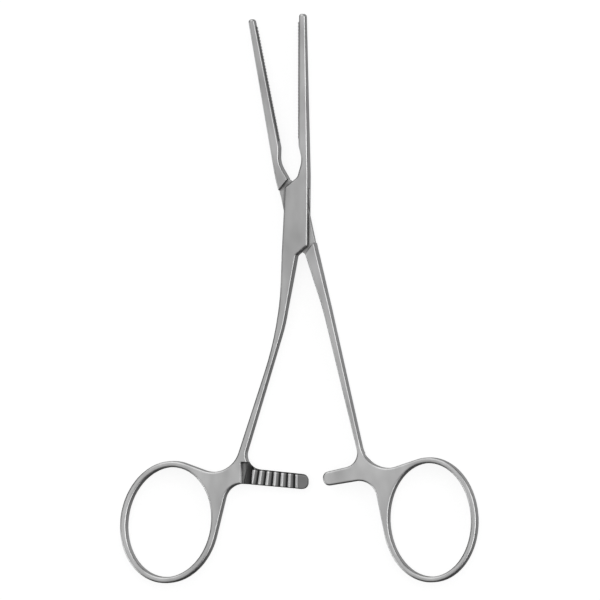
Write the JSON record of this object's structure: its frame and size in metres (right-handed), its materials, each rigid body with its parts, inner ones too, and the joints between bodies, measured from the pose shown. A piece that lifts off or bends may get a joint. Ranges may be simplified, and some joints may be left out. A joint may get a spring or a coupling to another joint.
{
  "type": "atraumatic clamp",
  "caption": "Slim straight atraumatic clamp with finely toothed jaw rows, a box lock, finger rings and a ratchet, lying open on its back.",
  "frame": {"origin": "on the pin axis, at the back face of the box, which rests on the table", "axes": "+Z along the pin axis, away from the table; +Y along the straight jaw of the box half, towards its tip"},
  "size_m": [0.0898, 0.1404, 0.0044],
  "materials": {
    "satin_steel": "satin"
  },
  "bodies": {
    "box_body": {"box_half": "satin_steel", "hinge_pin": "satin_steel"},
    "tongue_body": {"tongue_half": "satin_steel"}
  },
  "joints": [
    {"name": "box_lock", "type": "hinge", "parent": "box_body", "child": "tongue_body", "pos_m": [0, 0, 0.0022], "axis": [0, 0, 1], "range_deg": [-12, 48]}
  ]
}
